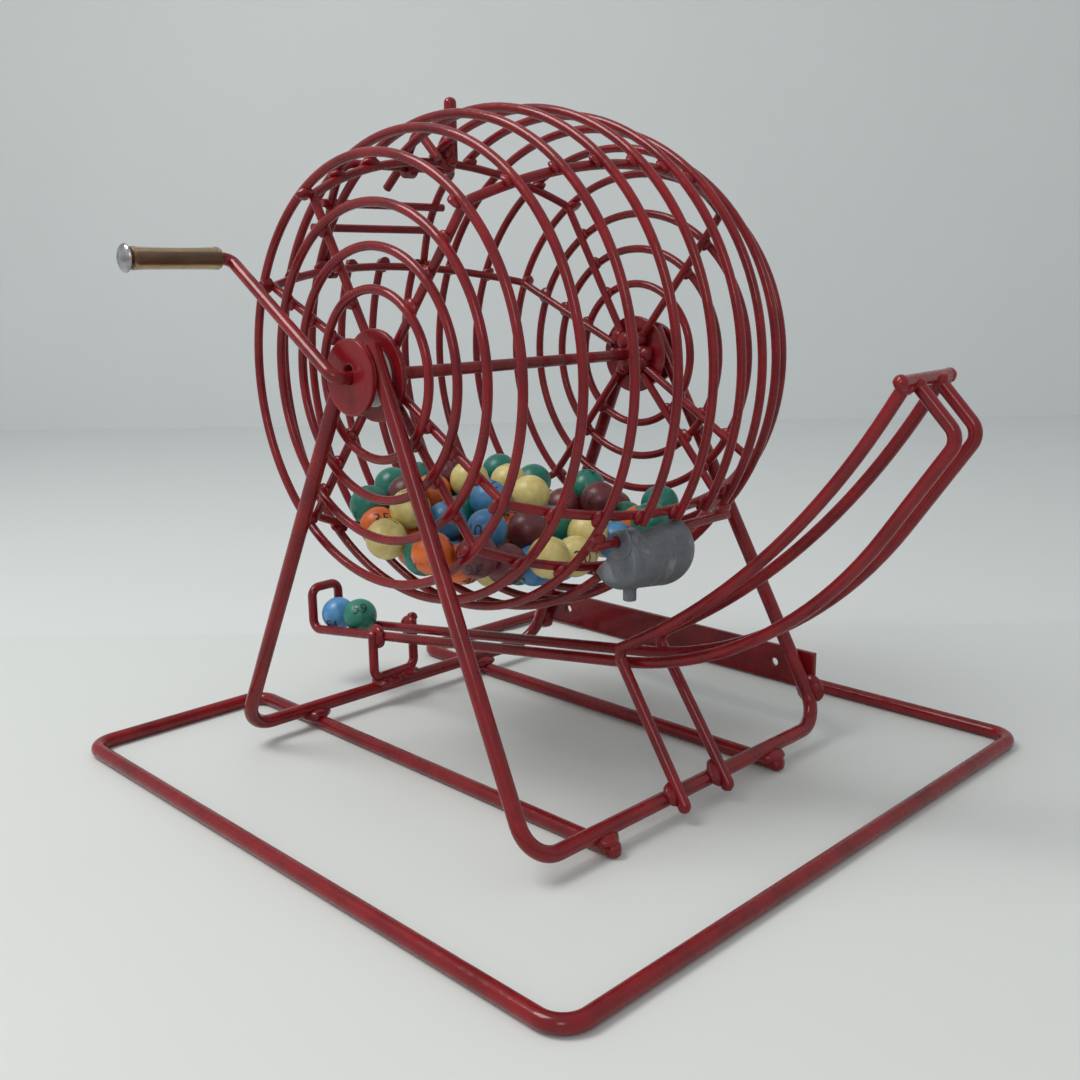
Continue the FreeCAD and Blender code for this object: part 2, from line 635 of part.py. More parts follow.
def settle_balls():
    """Centres of the loose balls: a seeded heap that sinks in the cage until nothing overlaps, then leans over."""
    spacing = BALL_DIAMETER + BALL_GAP
    reach = profile_radius - weld_distance - cage_wire_radius - PILE_GAP_TO_RIBS - ball_radius
    end = CAGE_HALF_LENGTH - weld_distance - cage_wire_radius - PILE_GAP_TO_RIBS - ball_radius
    dice = random.Random(PILE_SEED)
    balls = [[dice.uniform(-70, 70), dice.uniform(-end, end), dice.uniform(-100, 20)] for _ in range(BALL_COUNT)]
    for step in range(PILE_STEPS):
        pull = 1.2 * (1 - step / PILE_STEPS) ** 2
        for ball in balls:
            ball[2] -= pull
        for _ in range(4):
            part_balls(balls, spacing)
            for ball in balls:
                keep_in_barrel(ball, reach, end)
    lean = math.radians(PILE_LEAN_DEG)
    return [
        Vector(
            AXLE_X + x * math.cos(lean) + z * math.sin(lean), CAGE_CENTRE_Y + y,
            AXLE_Z + z * math.cos(lean) - x * math.sin(lean),
        )
        for x, y, z in balls
    ]


def part_balls(balls, spacing):
    """Pushes each overlapping pair of balls apart along the line between them."""
    for first in range(len(balls)):
        a = balls[first]
        for b in balls[first + 1:]:
            dx = b[0] - a[0]
            dy = b[1] - a[1]
            dz = b[2] - a[2]
            gap_squared = dx * dx + dy * dy + dz * dz
            if 1e-9 < gap_squared < spacing * spacing:
                distance = math.sqrt(gap_squared)
                push = (spacing - distance) / (2 * distance)
                for axis, step in enumerate((dx, dy, dz)):
                    a[axis] -= step * push
                    b[axis] += step * push


def keep_in_barrel(ball, reach, end):
    """Moves a ball's centre back inside the barrel and its two flat ends."""
    x, y, z = ball
    y = max(-end, min(end, y))
    radius = math.hypot(x, z)
    outward = radius - profile_centre
    distance = math.hypot(outward, y)
    if distance > reach and radius > 1:
        scale = reach / distance
        new_radius = profile_centre + outward * scale
        y = y * scale
        x = x * new_radius / radius
        z = z * new_radius / radius
    ball[:] = [x, y, z]


def ball(centre):
    return Part.makeSphere(ball_radius, centre)


def track_ball(along):
    """Ball resting on the two rails."""
    lift = math.sqrt((ball_radius + run_radius + BALL_GAP / 2) ** 2 - TRACK_HALF_GAUGE**2)
    slope = math.radians(TRACK_SLOPE_DEG)
    return ball(on_run(along - lift * math.sin(slope), 0, track_z(along) + lift * math.cos(slope)))


# ---- all nodes

nodes = {
    "base_wire": base_wire(),
    "front_leg_frame": leg_frame(FAR),
    "rear_leg_frame": leg_frame(NEAR),
    "near_bearing_disc": near_bearing_disc(),
    "far_bearing_disc": far_bearing_disc(),
    "brace_plate": brace_plate(),
    "track_wire": track_wire(),
    "guard_rail_near": guard_rail(NEAR),
    "guard_rail_far": guard_rail(FAR),
    "run_top_bar": top_bar(),
    "track_bracket": track_bracket(),
    "crank_axle": crank_axle(),
    "crank_grip": crank_grip(),
    "grip_cap": grip_cap(),
    "near_hub_disc": hub_disc(NEAR),
    "far_hub_disc": hub_disc(FAR),
    "hub_washer": hub_washer(),
    "scoop_bar": scoop_bar(),
    "ball_scoop": scoop(),
    "latch_post": latch_post(),
    "door_frame": door_frame(),
    "door_bars": Part.makeCompound([door_bar(angle) for angle in DOOR_BAR_ANGLES]),
    "door_latch": latch(),
    "track_ball_blue": track_ball(TRACK_BALL_STATIONS[0]),
    "track_ball_green": track_ball(TRACK_BALL_STATIONS[1]),
}
for number in range(BARREL_RING_COUNT):
    nodes["barrel_ring_%d" % (number + 1)] = barrel_ring(number - BARREL_RING_COUNT // 2)
for end_name, end_side in (("near", NEAR), ("far", FAR)):
    for size_name, cap_radius in zip(("small", "middle", "large"), CAP_RING_RADII):
        nodes["%s_cap_ring_%s" % (end_name, size_name)] = cap_ring(end_side, cap_radius)
for letter, rib_angle in RIB_ANGLES.items():
    nodes["rib_" + letter] = rib(rib_angle)
settled = settle_balls()
for number, colour in enumerate(BALL_COLOURS):
    same_colour = settled[number::len(BALL_COLOURS)]
    nodes["balls_" + colour] = Part.makeCompound([ball(centre) for centre in same_colour])

os.makedirs("parts", exist_ok=True)
for name, shape in nodes.items():
    if not shape.isValid():
        raise ValueError(name + " is not a valid shape")
    shape.exportStep(os.path.join("parts", name + ".step"))
    print(name, len(shape.Solids), "solid(s)", round(shape.Volume), "mm3")
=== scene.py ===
import json
import math
import random

import bmesh
import bpy
from mathutils import Matrix, Vector, noise
from mathutils.bvhtree import BVHTree


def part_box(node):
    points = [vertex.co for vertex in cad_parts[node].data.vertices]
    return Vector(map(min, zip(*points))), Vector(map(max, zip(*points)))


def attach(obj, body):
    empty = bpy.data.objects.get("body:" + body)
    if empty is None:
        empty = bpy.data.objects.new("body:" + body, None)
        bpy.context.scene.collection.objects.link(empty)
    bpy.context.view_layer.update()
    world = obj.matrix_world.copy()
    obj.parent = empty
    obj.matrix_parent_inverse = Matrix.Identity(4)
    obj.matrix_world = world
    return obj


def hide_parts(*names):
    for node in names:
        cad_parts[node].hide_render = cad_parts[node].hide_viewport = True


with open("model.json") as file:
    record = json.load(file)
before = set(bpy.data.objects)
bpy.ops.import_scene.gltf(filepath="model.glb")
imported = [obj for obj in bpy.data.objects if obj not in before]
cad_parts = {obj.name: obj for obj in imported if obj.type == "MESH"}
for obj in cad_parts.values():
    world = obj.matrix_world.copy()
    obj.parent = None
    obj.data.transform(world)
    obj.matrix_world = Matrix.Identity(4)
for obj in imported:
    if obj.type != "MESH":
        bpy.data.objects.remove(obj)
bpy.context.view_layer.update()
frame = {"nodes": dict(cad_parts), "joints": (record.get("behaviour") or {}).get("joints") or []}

# Bingo cage, in metres, in the CAD model's frame: +Z up, +Y along the axle from the crank to the far hub.
MM = 0.001
JOINTS = {joint["name"]: joint for joint in frame["joints"]}
AXLE = Vector(JOINTS["cage_spin"]["pos_m"])
CAGE_WIRE = 4.6 * MM
FRAME_WIRE = 8.0 * MM
RUN_WIRE = 6.0 * MM
RIBS = ("rib_a", "rib_b", "rib_c", "rib_d", "rib_e", "rib_f")
CAP_RINGS = ("small", "middle", "large")
BARREL_RINGS = 9
WHOLE_RINGS_BESIDE_SCOOP = (3, 7)
STAND_PLATES = ("near_bearing_disc", "far_bearing_disc", "brace_plate")
BALL_COLOURS = ("yellow", "blue", "green", "orange", "maroon")
BALL_NUMBERS = 75
SEED = 11

# Enamel in the corners between wires. A lump is as wide as its first size and as thick as its second.
BARREL_LUMP = (4.6 * MM, 2.1 * MM)
CAP_LUMP = (4.3 * MM, 2.3 * MM)
HUB_BEADS = {"far_hub_disc": (-1, 15), "near_hub_disc": (1, 9)}
AXLE_BEAD = (7 * MM, 7 * MM, 5 * MM)
LUMP_UNEVENNESS = 0.16
LUMP_LOWEST_Z = 0.1 * MM
CONTACT_REACH = 0.45 * MM
CONTACT_SPREAD = 7 * MM
CONTACT_WIDTH = 1.05
CONTACT_THICKNESS = 0.52
END_DROP = 0.56
EDGE_STEP = 0.8 * MM

# Voxel size and smoothing rounds of the pieces with rounded edges.
PLATE_COAT = (0.5 * MM, 3)
WASHER_COAT = (0.4 * MM, 2)
SCOOP_COAT = (0.55 * MM, 5)

GRIP_BORE_RADIUS = 3.35 * MM
GRIP_SAG = 0.25 * MM
DIGIT_HEIGHT = 0.95
DIGIT_LIFT = 0.02 * MM

# Camera, from the floor point under the base's centre.
CAMERA_PLACE = Vector((0.4458, -0.4492, 0.2656))
CAMERA_AZIMUTH = math.radians(45.18)
CAMERA_DROP = math.radians(12.64)
CAMERA_ROLL = math.radians(-0.81)
CAMERA_LENS = 38.82
CAMERA_SENSOR = 36.0

# Distances ahead of the camera's foot at which the floor starts, the sheet ends and the wall stands.
FLOOR_START = -1.6
SHEET_END = 0.866
WALL_DISTANCE = 2.2
STAGE_HALF_WIDTH = 3.0
WALL_HEIGHT = 2.4
TABLE_DROP = 0.8 * MM
LIGHT_TARGET = (0, 0, 0.15)


# ---- small helpers

def size_of(node):
    low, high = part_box(node)
    return high - low


def middle_of(node):
    low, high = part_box(node)
    return (low + high) / 2


def on_cage(radius, angle, y):
    """Point at a radius and an angle (radians) about the axle."""
    return Vector((AXLE.x + radius * math.cos(angle), y, AXLE.z + radius * math.sin(angle)))


def outward(angle):
    """Unit vector away from the axle at an angle."""
    return on_cage(1, angle, 0) - on_cage(0, angle, 0)


def rib_angle(node):
    """Angle of a rib's plane about the axle."""
    centre = middle_of(node) - AXLE
    corner = max((v.co for v in frame["nodes"][node].data.vertices), key=lambda co: (co - AXLE).xz.length)
    if (corner - AXLE).xz.dot(centre.xz) < 0:
        raise ValueError(node + " doesn't lie on one side of the axle")
    total = Vector((0, 0, 0))
    for vertex in frame["nodes"][node].data.vertices:
        total += vertex.co - AXLE
    return math.atan2(total.z, total.x)


def new_object(name, mesh, material, body):
    piece = bpy.data.objects.new(name, mesh)
    bpy.context.scene.collection.objects.link(piece)
    mesh.materials.clear()
    mesh.materials.append(material)
    for polygon in mesh.polygons:
        polygon.use_smooth = True
    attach(piece, body)
    return piece


def mesh_from(build):
    """Mesh filled in by a function that works on a bmesh."""
    shape = bmesh.new()
    build(shape)
    mesh = bpy.data.meshes.new("mesh")
    shape.to_mesh(mesh)
    shape.free()
    return mesh


def lathe(shape, profile, place, segments=48):
    """Adds a closed turned shape to a bmesh. profile is (radius, along) about the local Z axis."""
    rings = []
    for radius, along in profile:
        if radius < 1e-7:
            rings.append([shape.verts.new(place @ Vector((0, 0, along)))])
            continue
        ring = []
        for step in range(segments):
            turn = 2 * math.pi * step / segments
            corner = Vector((radius * math.cos(turn), radius * math.sin(turn), along))
            ring.append(shape.verts.new(place @ corner))
        rings.append(ring)
    for lower, upper in zip(rings, rings[1:]):
        for step in range(segments):
            following = (step + 1) % segments
            corners = [lower[step % len(lower)], lower[following % len(lower)],
                       upper[following % len(upper)], upper[step % len(upper)]]
            shape.faces.new(list(dict.fromkeys(corners)))


def frame_at(centre, normal, along=None):
    """Matrix whose Z is normal and whose X is as near as possible to along."""
    z = Vector(normal).normalized()
    guide = Vector(along) if along is not None else z.orthogonal()
    y = z.cross(guide).normalized()
    x = y.cross(z)
    turn = Matrix((x, y, z)).transposed().to_4x4()
    return Matrix.Translation(centre) @ turn


# ---- materials

def material(name):
    made = bpy.data.materials.new(name)
    made.use_nodes = True
    nodes = made.node_tree.nodes
    return made, nodes, made.node_tree.links, nodes["Principled BSDF"]


def noise_node(nodes, links, scale, detail=3.0, rough=0.5, distort=0.0, stretch=None):
    texture = nodes.new("ShaderNodeTexNoise")
    texture.inputs["Scale"].default_value = scale
    texture.inputs["Detail"].default_value = detail
    texture.inputs["Roughness"].default_value = rough
    texture.inputs["Distortion"].default_value = distort
    place = nodes.new("ShaderNodeTexCoord")
    if stretch is None:
        links.new(place.outputs["Object"], texture.inputs["Vector"])
    else:
        mapping = nodes.new("ShaderNodeMapping")
        mapping.inputs["Scale"].default_value = stretch
        links.new(place.outputs["Object"], mapping.inputs["Vector"])
        links.new(mapping.outputs["Vector"], texture.inputs["Vector"])
    return texture.outputs["Fac"]


def ramp_node(nodes, links, source, stops):
    ramp = nodes.new("ShaderNodeValToRGB")
    elements = ramp.color_ramp.elements
    while len(elements) < len(stops):
        elements.new(0.5)
    for element, (position, colour) in zip(elements, stops):
        element.position = position
        element.color = (*colour, 1.0)
    links.new(source, ramp.inputs["Fac"])
    return ramp.outputs["Color"]


def grey(value):
    return (value, value, value)


def mix_colour(nodes, links, factor, first, second):
    mix = nodes.new("ShaderNodeMix")
    mix.data_type = "RGBA"
    links.new(factor, mix.inputs["Factor"])
    for socket, value in ((mix.inputs[6], first), (mix.inputs[7], second)):
        if isinstance(value, tuple):
            socket.default_value = (*value, 1.0)
        else:
            links.new(value, socket)
    return mix.outputs[2]


def add_bump(nodes, links, shader, layers):
    """Bump from (height, strength, distance) layers, one on the other."""
    normal = None
    for height, strength, distance in layers:
        bump = nodes.new("ShaderNodeBump")
        bump.inputs["Strength"].default_value = strength
        bump.inputs["Distance"].default_value = distance
        links.new(height, bump.inputs["Height"])
        if normal is not None:
            links.new(normal, bump.inputs["Normal"])
        normal = bump.outputs["Normal"]
    links.new(normal, shader.inputs["Normal"])


def red_enamel():
    """Dipped brick-red enamel: slow ripples, an uneven tone and small dark chips."""
    made, nodes, links, shader = material("red_enamel")
    tone = noise_node(nodes, links, 55, detail=4)
    red = ramp_node(nodes, links, tone, [(0.3, (0.130, 0.0045, 0.0080)), (0.7, (0.225, 0.0080, 0.0120))])
    speck = noise_node(nodes, links, 420, detail=2)
    chips = ramp_node(nodes, links, speck, [(0.76, grey(0)), (0.79, grey(0.8))])
    red = mix_colour(nodes, links, chips, red, (0.035, 0.008, 0.010))
    links.new(red, shader.inputs["Base Color"])
    dull = noise_node(nodes, links, 120, detail=5)
    rough = ramp_node(nodes, links, dull, [(0.3, grey(0.20)), (0.75, grey(0.36))])
    links.new(rough, shader.inputs["Roughness"])
    shader.inputs["Specular IOR Level"].default_value = 0.18
    shader.inputs["Coat Weight"].default_value = 0.38
    shader.inputs["Coat Roughness"].default_value = 0.06
    ripple = noise_node(nodes, links, 160, detail=1)
    grain = noise_node(nodes, links, 900, detail=3)
    add_bump(nodes, links, shader, [(ripple, 0.30, 0.0012), (grain, 0.06, 0.0003)])
    return made


def scoop_plastic():
    """Dark grey moulding with a dusty metallic bloom, pale scuffs and fine scratches."""
    made, nodes, links, shader = material("scoop_plastic")
    cloud = noise_node(nodes, links, 70, detail=6, rough=0.65)
    base = ramp_node(nodes, links, cloud, [(0.3, (0.085, 0.095, 0.108)), (0.7, (0.165, 0.180, 0.200))])
    dust = noise_node(nodes, links, 900, detail=4, rough=0.7)
    dusty = ramp_node(nodes, links, dust, [(0.56, grey(0)), (0.78, grey(0.6))])
    base = mix_colour(nodes, links, dusty, base, (0.27, 0.29, 0.31))
    scuff = noise_node(nodes, links, 60, detail=5, rough=0.6, distort=0.6, stretch=(1, 2.5, 1))
    rubbed = ramp_node(nodes, links, scuff, [(0.56, grey(0)), (0.68, grey(0.45))])
    base = mix_colour(nodes, links, rubbed, base, (0.36, 0.38, 0.40))
    links.new(base, shader.inputs["Base Color"])
    shader.inputs["Metallic"].default_value = 0.25
    rough = ramp_node(nodes, links, cloud, [(0.3, grey(0.42)), (0.7, grey(0.58))])
    links.new(rough, shader.inputs["Roughness"])
    scratch = noise_node(nodes, links, 500, detail=2, stretch=(1, 8, 1))
    add_bump(nodes, links, shader, [(cloud, 0.25, 0.0006), (scratch, 0.12, 0.0002)])
    return made


def grip_sleeve():
    """Aged clear sleeve: see-through amber, smoky in clouds, with drawn streaks."""
    made, nodes, links, shader = material("grip_sleeve")
    streak = noise_node(nodes, links, 320, detail=5, stretch=(1, 0.12, 1))
    amber = ramp_node(nodes, links, streak, [(0.3, (0.40, 0.255, 0.130)), (0.7, (0.68, 0.52, 0.33))])
    cloud = noise_node(nodes, links, 90, detail=3)
    smoke = ramp_node(nodes, links, cloud, [(0.35, grey(0)), (0.75, grey(0.55))])
    amber = mix_colour(nodes, links, smoke, amber, (0.30, 0.20, 0.12))
    links.new(amber, shader.inputs["Base Color"])
    shader.inputs["Transmission Weight"].default_value = 0.90
    shader.inputs["IOR"].default_value = 1.36
    shader.inputs["Coat Weight"].default_value = 0.3
    rough = ramp_node(nodes, links, cloud, [(0.3, grey(0.14)), (0.8, grey(0.26))])
    links.new(rough, shader.inputs["Roughness"])
    add_bump(nodes, links, shader, [(streak, 0.10, 0.0003)])
    return made


def plated_steel():
    """Dull plating with light stains and a fine grain."""
    made, nodes, links, shader = material("plated_steel")
    stain = noise_node(nodes, links, 260, detail=4)
    tone = ramp_node(nodes, links, stain, [(0.3, (0.27, 0.27, 0.28)), (0.7, (0.50, 0.50, 0.51))])
    links.new(tone, shader.inputs["Base Color"])
    shader.inputs["Metallic"].default_value = 1.0
    rough = ramp_node(nodes, links, stain, [(0.3, grey(0.16)), (0.8, grey(0.34))])
    links.new(rough, shader.inputs["Roughness"])
    fine = noise_node(nodes, links, 1600, detail=2)
    add_bump(nodes, links, shader, [(fine, 0.08, 0.0002)])
    return made


def washer_plastic():
    made, nodes, links, shader = material("washer_plastic")
    stain = noise_node(nodes, links, 150, detail=5)
    tone = ramp_node(nodes, links, stain, [(0.3, (0.40, 0.41, 0.40)), (0.75, (0.60, 0.61, 0.59))])
    links.new(tone, shader.inputs["Base Color"])
    shader.inputs["Roughness"].default_value = 0.5
    fine = noise_node(nodes, links, 700, detail=3)
    add_bump(nodes, links, shader, [(fine, 0.2, 0.0003)])
    return made


def ball_lacquer(name, dark, light):
    """Satin lacquer on a turned ball: mottled colour, grime in patches and faint dents."""
    made, nodes, links, shader = material(name)
    mottle = noise_node(nodes, links, 130, detail=5, rough=0.6)
    tone = ramp_node(nodes, links, mottle, [(0.3, dark), (0.65, light)])
    grime = noise_node(nodes, links, 380, detail=4, rough=0.7)
    dirty = ramp_node(nodes, links, grime, [(0.62, grey(0)), (0.80, grey(0.4))])
    tone = mix_colour(nodes, links, dirty, tone, tuple(0.35 * value for value in dark))
    links.new(tone, shader.inputs["Base Color"])
    rough = ramp_node(nodes, links, mottle, [(0.3, grey(0.30)), (0.75, grey(0.46))])
    links.new(rough, shader.inputs["Roughness"])
    shader.inputs["Coat Weight"].default_value = 0.25
    shader.inputs["Coat Roughness"].default_value = 0.3
    dent = noise_node(nodes, links, 300, detail=2)
    add_bump(nodes, links, shader, [(dent, 0.15, 0.0006)])
    return made


def ball_ink():
    made, nodes, links, shader = material("ball_ink")
    fade = noise_node(nodes, links, 900, detail=3)
    tone = ramp_node(nodes, links, fade, [(0.3, grey(0.008)), (0.8, grey(0.03))])
    links.new(tone, shader.inputs["Base Color"])
    shader.inputs["Roughness"].default_value = 0.45
    return made


def stage_surface(name, colour):
    made, nodes, links, shader = material(name)
    cloud = noise_node(nodes, links, 6, detail=4)
    tone = ramp_node(nodes, links, cloud, [(0.3, tuple(0.985 * value for value in colour)), (0.7, colour)])
    links.new(tone, shader.inputs["Base Color"])
    shader.inputs["Roughness"].default_value = 0.55
    return made


RED = red_enamel()
SCOOP = scoop_plastic()
SLEEVE = grip_sleeve()
STEEL = plated_steel()
WASHER = washer_plastic()
INK = ball_ink()
BALL_MATERIALS = {
    "yellow": ball_lacquer("ball_yellow", (0.60, 0.48, 0.155), (0.80, 0.70, 0.27)),
    "blue": ball_lacquer("ball_blue", (0.035, 0.165, 0.36), (0.075, 0.27, 0.52)),
    "green": ball_lacquer("ball_green", (0.004, 0.125, 0.085), (0.010, 0.21, 0.15)),
    "orange": ball_lacquer("ball_orange", (0.60, 0.10, 0.012), (0.82, 0.17, 0.02)),
    "maroon": ball_lacquer("ball_maroon", (0.090, 0.012, 0.018), (0.16, 0.022, 0.030)),
}

NODE_MATERIALS = {"grip_cap": STEEL, "hub_washer": WASHER, "crank_grip": SLEEVE, "ball_scoop": SCOOP}
for node_name, node in frame["nodes"].items():
    finish = NODE_MATERIALS.get(node_name, RED)
    node.data.materials.clear()
    node.data.materials.append(finish)
    for polygon in node.data.polygons:
        polygon.use_smooth = True


# ---- welds, where enamel pools in the corners

def weld_lump(shape, place, radii, dice):
    """Adds one uneven rounded lump to a bmesh."""
    made = bmesh.ops.create_icosphere(shape, subdivisions=3, radius=1.0)
    shift = Vector((dice.uniform(0, 50), dice.uniform(0, 50), dice.uniform(0, 50)))
    for vertex in made["verts"]:
        swell = 1 + LUMP_UNEVENNESS * noise.noise(vertex.co * 1.6 + shift)
        local = Vector([vertex.co[axis] * radii[axis] * swell for axis in range(3)])
        vertex.co = place @ local
        vertex.co.z = max(vertex.co.z, LUMP_LOWEST_Z)


def weld_piece(name, body, lumps, seed):
    """One mesh of weld lumps. lumps is (centre, normal, along, radii)."""
    dice = random.Random(seed)

    def build(shape):
        for centre, normal, along, radii in lumps:
            weld_lump(shape, frame_at(centre, normal, along), radii, dice)

    piece = new_object(name, mesh_from(build), RED, body)


def ring_size(node):
    """Centreline radius and Y of a ring node."""
    return size_of(node).z / 2 - CAGE_WIRE / 2, middle_of(node).y


def cage_weld_lumps():
    """Lumps in the corners where rings cross ribs."""
    dice = random.Random(SEED)
    angles = [rib_angle(node) for node in RIBS]
    lumps = []
    for number in range(1, BARREL_RINGS + 1):
        radius, y = ring_size("barrel_ring_%d" % number)
        width, thickness = BARREL_LUMP
        for angle in angles:
            spread = dice.uniform(0.9, 1.15)
            radii = (width * spread, width * spread, thickness)
            centre = on_cage(radius - CAGE_WIRE / 2, angle, y)
            lumps.append((centre, outward(angle), Vector((0, 1, 0)), radii))
    for end, side in (("near", -1), ("far", 1)):
        for ring in CAP_RINGS:
            radius, y = ring_size("%s_cap_ring_%s" % (end, ring))
            width, thickness = CAP_LUMP
            for angle in angles:
                spread = dice.uniform(0.9, 1.15)
                radii = (width * spread, width * spread, thickness)
                centre = on_cage(radius, angle, y - side * CAGE_WIRE / 2)
                lumps.append((centre, Vector((0, side, 0)), outward(angle), radii))
    return lumps


def hub_weld_lumps():
    """Heavy beads where the spokes meet the hub discs and the axle."""
    dice = random.Random(SEED + 1)
    lumps = []
    for node, (inward, count) in HUB_BEADS.items():
        low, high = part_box(node)
        face = high.y if inward > 0 else low.y
        for step in range(count):
            angle = 2 * math.pi * step / count + dice.uniform(-0.2, 0.2)
            radius = dice.uniform(5, 14) * MM
            reach = dice.uniform(3.2, 6.0) * MM
            centre = on_cage(radius, angle, face + inward * dice.uniform(1.5, 3.5) * MM)
            lumps.append((centre, Vector((0, 1, 0)), None, (reach * 1.2, reach, reach)))
        lumps.append((on_cage(0, 0, face + inward * 2 * MM), Vector((0, 1, 0)), None, AXLE_BEAD))
    return lumps


def edge_samples(mesh, low, high):
    """Points along the edges of a mesh that may reach into a box."""
    for edge in mesh.edges:
        start, end = (mesh.vertices[index].co for index in edge.vertices)
        if any(max(start[axis], end[axis]) < low[axis] or min(start[axis], end[axis]) > high[axis]
               for axis in range(3)):
            continue
        count = max(1, int((end - start).length / EDGE_STEP))
        for number in range(count + 1):
            yield start.lerp(end, number / count)


def contacts(node, other):
    """Places where two touching nodes meet, as (point, normal), one for each cluster of close points."""
    mesh = frame["nodes"][node].data
    target = frame["nodes"][other].data
    tree = BVHTree.FromPolygons([v.co for v in target.vertices], [p.vertices for p in target.polygons])
    low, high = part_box(other)
    margin = Vector((CONTACT_REACH, CONTACT_REACH, CONTACT_REACH))
    low, high = low - margin, high + margin
    clusters = []
    for point in edge_samples(mesh, low, high):
        if any(point[axis] < low[axis] or point[axis] > high[axis] for axis in range(3)):
            continue
        place, normal, _, distance = tree.find_nearest(point, CONTACT_REACH)
        if place is None:
            continue
        for cluster in clusters:
            if (cluster[0] / cluster[2] - place).length < CONTACT_SPREAD:
                cluster[0] += place
                cluster[1] += normal
                cluster[2] += 1
                break
        else:
            clusters.append([place.copy(), normal.copy(), 1])
    return [(total / count, normals.normalized()) for total, normals, count in clusters]


def contact_lumps(pairs, wire, width=CONTACT_WIDTH):
    """Lumps round every contact of the given pairs of nodes. width is in wires."""
    dice = random.Random(SEED + 3)
    lumps = []
    for node, other in pairs:
        for point, normal in contacts(node, other):
            spread = dice.uniform(0.95, 1.15)
            radii = (width * wire * spread, width * wire * spread, CONTACT_THICKNESS * wire)
            lumps.append((point, normal, None, radii))
    return lumps


def end_lump(node, direction, wire, near=None):
    """Round drop over the open end of a wire that points in a direction."""
    toward = Vector(direction).normalized()
    places = [v.co for v in frame["nodes"][node].data.vertices if near is None or near(v.co)]
    furthest = max(co.dot(toward) for co in places)
    members = [co for co in places if co.dot(toward) > furthest - wire / 2]
    centre = sum(members, Vector((0, 0, 0))) / len(members)
    return centre, toward, None, (END_DROP * wire, END_DROP * wire, END_DROP * wire)


def stand_weld_lumps():
    """Lumps at the stand's joints and drops over its open wire ends."""
    frames = ("front_leg_frame", "rear_leg_frame")
    heavy = [("base_wire", leg) for leg in frames]
    heavy += [(plate, leg) for plate in STAND_PLATES for leg in frames]
    light = [("guard_rail_near", "front_leg_frame"), ("guard_rail_far", "front_leg_frame"),
             ("track_bracket", "rear_leg_frame"), ("track_bracket", "track_wire")]
    top = [(rail, "run_top_bar") for rail in ("track_wire", "guard_rail_near", "guard_rail_far")]
    lumps = contact_lumps(heavy, FRAME_WIRE)
    lumps += contact_lumps(light, RUN_WIRE * 1.1)
    lumps += contact_lumps(top, RUN_WIRE, 0.62)
    between = middle_of("base_wire").y - 5 * MM
    inside = 0.11
    for near_side, far_side in ((-inside, between), (between, inside)):
        lumps.append(end_lump(
            "base_wire", (1, 0, 0), FRAME_WIRE,
            lambda co, low=near_side, high=far_side: low < co.y < high and co.x < inside + 5 * MM))
    for rail in ("guard_rail_near", "guard_rail_far"):
        lumps.append(end_lump(rail, (0, 0, -1), RUN_WIRE))
    for side in (-1, 1):
        lumps.append(end_lump("run_top_bar", (0, side, 0), RUN_WIRE))
        lumps.append(end_lump("track_bracket", (0, 0.05 * side, 1), RUN_WIRE,
                              lambda co, side=side: (co.y - middle_of("track_bracket").y) * side > 0))
    return lumps


weld_piece("cage_welds", "cage", cage_weld_lumps(), SEED)
weld_piece("hub_welds", "cage", hub_weld_lumps(), SEED + 2)
weld_piece("bar_welds", "cage", contact_lumps(
    [("scoop_bar", "barrel_ring_%d" % number) for number in WHOLE_RINGS_BESIDE_SCOOP]
    + [("latch_post", "rib_e"), ("latch_post", "barrel_ring_5")], CAGE_WIRE * 1.15), SEED + 4)
weld_piece("stand_welds", "stand", stand_weld_lumps(), SEED + 6)
weld_piece("door_welds", "door", contact_lumps([("door_bars", "door_frame")], CAGE_WIRE, 0.8), SEED + 7)


# ---- parts with rounded, coated edges

def dipped(node, body, finish, slot_name, voxel, rounds):
    """Copy of a CAD node whose edges are rounded as a thick coat or a mould leaves them."""
    mesh = frame["nodes"][node].data.copy()
    piece = new_object(node + "_coated", mesh, finish, body)
    remesh = piece.modifiers.new("remesh", "REMESH")
    remesh.mode = "VOXEL"
    remesh.voxel_size = voxel
    remesh.use_smooth_shade = True
    smooth = piece.modifiers.new("smooth", "SMOOTH")
    smooth.factor = 0.5
    smooth.iterations = rounds
    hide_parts(node)


for plate in STAND_PLATES:
    dipped(plate, "stand", RED, "red_enamel", *PLATE_COAT)
for plate in ("near_hub_disc", "far_hub_disc"):
    dipped(plate, "cage", RED, "red_enamel", *PLATE_COAT)
dipped("hub_washer", "cage", WASHER, "washer_plastic", *WASHER_COAT)
dipped("ball_scoop", "scoop", SCOOP, "scoop_plastic", *SCOOP_COAT)


# ---- grip and its cap

def grip_frame():
    """Middle of the grip, half its length and its radius. The grip lies along Y."""
    low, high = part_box("crank_grip")
    return (low + high) / 2, (high.y - low.y) / 2, (high.x - low.x) / 2


